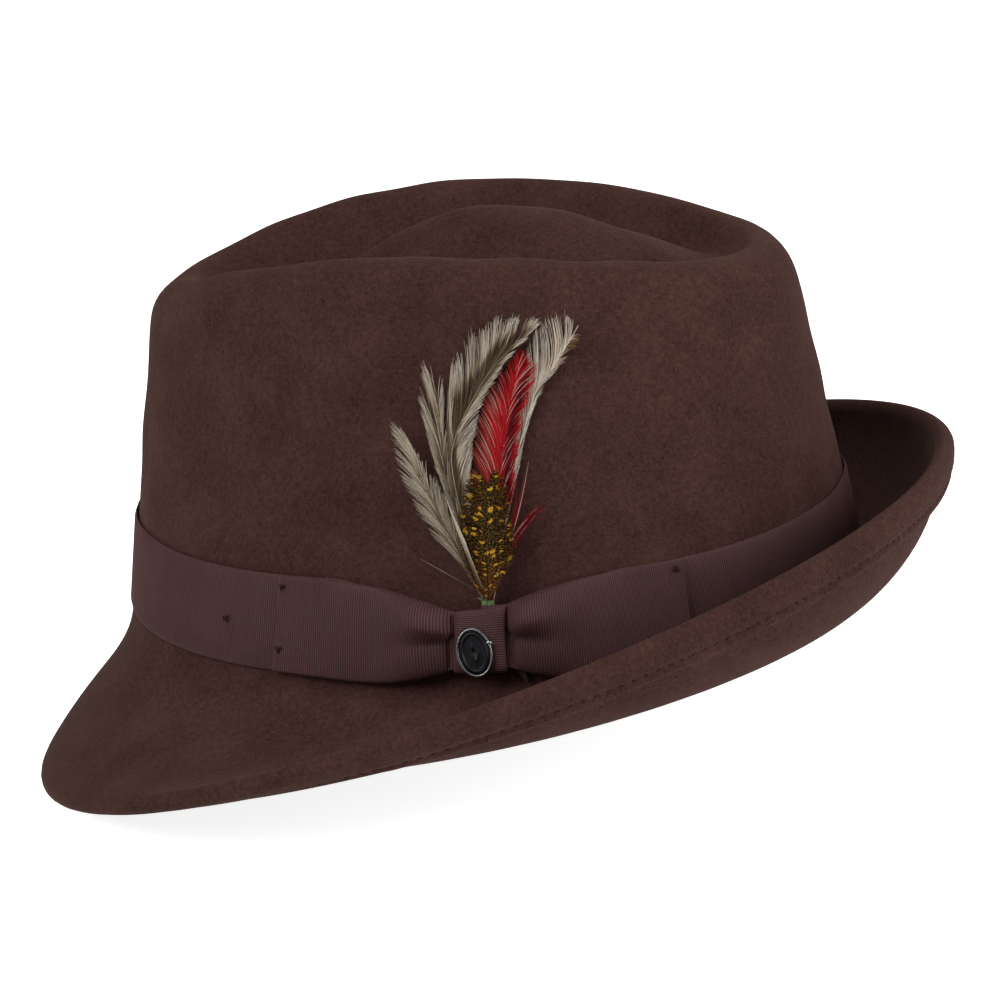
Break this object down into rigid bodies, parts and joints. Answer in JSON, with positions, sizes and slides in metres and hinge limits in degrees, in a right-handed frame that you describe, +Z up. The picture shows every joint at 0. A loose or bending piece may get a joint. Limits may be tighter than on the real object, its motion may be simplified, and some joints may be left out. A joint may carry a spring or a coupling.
{
  "type": "fedora hat",
  "caption": "Felt hat with a grooved crown, a brim down in front and up behind, ribbon band and bow, feather mount and small oval badge.",
  "frame": {"origin": "centre of the head opening, at the height of the break between crown and brim", "axes": "+Z up along the crown, -Y the front of the hat, +X the wearer's left, where the bow is"},
  "size_m": [0.277, 0.2628, 0.1487],
  "materials": {
    "felt": "dense brushed wool felt, dark brown",
    "ribbon": "ribbed grosgrain, dark brown with a faint purple cast",
    "thread": "spun sewing thread, dark brown",
    "hackle": "cream barbs with a brown centre, natural feather",
    "red_feather": "dyed feather, deep red",
    "spotted_feather": "black feather with gold spots",
    "tape": "waxed florist's tape, pale green",
    "enamel": "black enamel, satin gloss",
    "silver": "bright plated metal",
    "leather": "smooth brown roan leather",
    "reed": "extruded plastic cord",
    "satin": "satin lining, dark brown",
    "label": "plain woven label, blank"
  },
  "bodies": {
    "hat": {"felt_body": "felt", "welt_thread": "thread", "hatband": "ribbon", "bow_front_loop": "ribbon", "bow_rear_loop": "ribbon", "bow_knot": "ribbon", "bow_tail": "ribbon", "ribbon_tack_1": "thread", "ribbon_tack_2": "thread", "ribbon_tack_3": "thread", "ribbon_tack_4": "thread", "ribbon_tack_5": "thread", "sweatband": "leather", "sweatband_reed": "reed", "sweatband_bow": "leather", "lining_side": "satin", "lining_tip": "satin", "size_label": "label"},
    "feather_mount": {"feather_curled_hackle": "hackle", "feather_red": "red_feather", "feather_upper_hackle": "hackle", "feather_broad_hackle": "hackle", "feather_lower_hackle": "hackle", "feather_red_strands": "red_feather", "feather_spotted": "spotted_feather", "feather_tape": "tape"},
    "badge": {"badge_plate": "enamel", "badge_rim": "silver", "badge_emblem": "silver", "badge_catch": "silver", "badge_post": "silver", "badge_clutch": "silver"}
  },
  "joints": [
    {"name": "feather_slide", "type": "slide", "parent": "hat", "child": "feather_mount", "axis": [-0.2744, -0.0479, 0.9604], "range_m": [0, 0.016]},
    {"name": "badge_turn", "type": "hinge", "parent": "hat", "child": "badge", "pos_m": [0.09275, 0.01367, 0.01118], "axis": [0.9603, 0.0425, 0.2758], "continuous": true}
  ]
}
